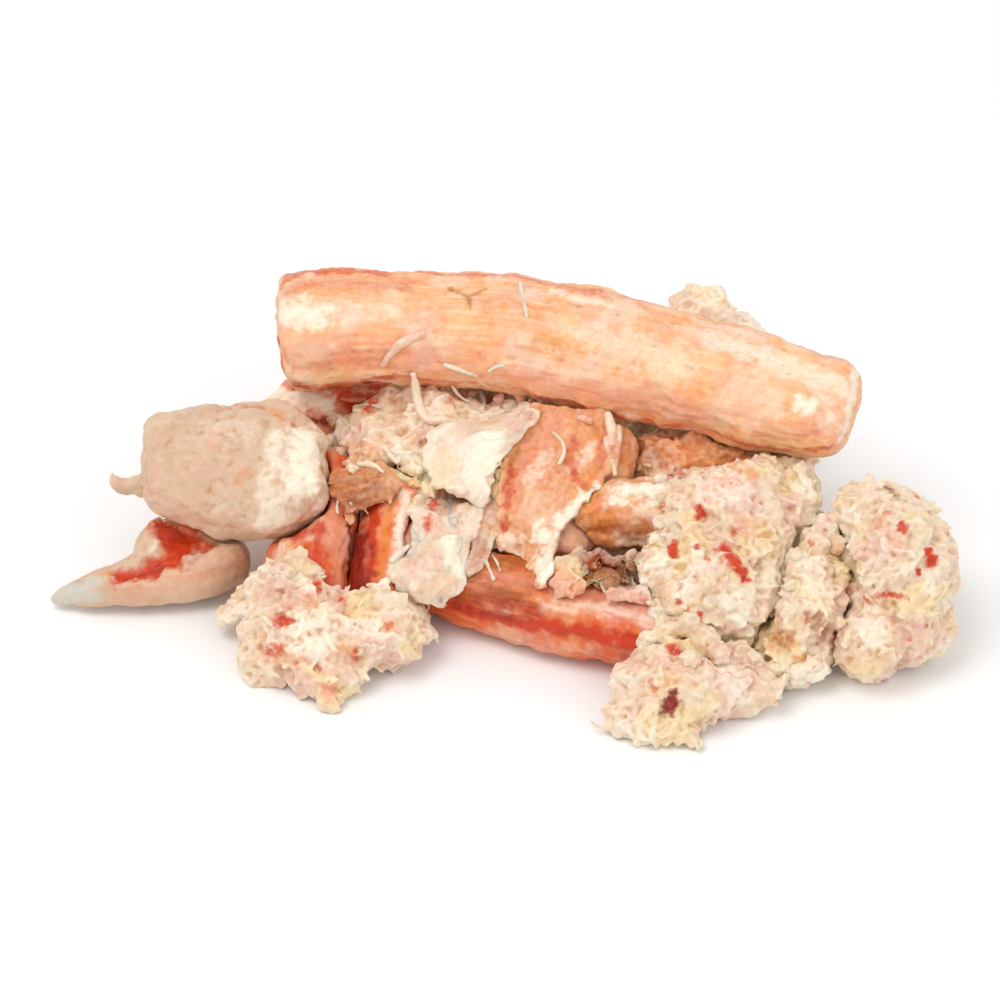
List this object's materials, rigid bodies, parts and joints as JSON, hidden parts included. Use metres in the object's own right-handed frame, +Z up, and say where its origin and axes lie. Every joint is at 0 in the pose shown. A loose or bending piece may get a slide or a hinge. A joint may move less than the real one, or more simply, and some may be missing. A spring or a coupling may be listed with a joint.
{
  "type": "crab meat",
  "caption": "A loose heap of picked crab meat: a long peeled leg on top of shorter red legs, smooth chunks, torn white sheets and clumps of short flakes.",
  "frame": {"origin": "middle of the heap's box, on the surface that it lies on", "axes": "+X along the heap towards its right end, +Y away from its front, +Z up"},
  "size_m": [0.1982, 0.1164, 0.0573],
  "materials": {
    "leg_skin": "moist peeled leg meat, orange to cream, with fine lengthwise grain",
    "red_skin": "moist leg meat with red skin and pale torn places",
    "smooth_meat": "moist smooth meat, pale pink to cream",
    "torn_meat": "moist torn meat, cream with orange skin",
    "white_sheet": "glossy white membrane and sheets of meat",
    "flaked_meat": "soft flaked meat, cream with red specks"
  },
  "bodies": {
    "root": {"leg_top": "leg_skin", "leg_back": "red_skin", "leg_left": "red_skin", "leg_middle": "red_skin", "leg_low": "red_skin", "chunk_left": "smooth_meat", "claw_left": "smooth_meat", "slab_middle": "torn_meat", "lump_cream": "torn_meat", "flake_brown": "torn_meat", "flake_white": "white_sheet", "flake_fan": "white_sheet", "clump_core": "flaked_meat", "clump_front": "flaked_meat", "clump_upper": "flaked_meat", "clump_foot": "flaked_meat", "clump_low": "flaked_meat", "clump_end": "flaked_meat", "clump_under": "flaked_meat", "clump_back": "flaked_meat", "shreds_low": "flaked_meat"}
  },
  "joints": []
}
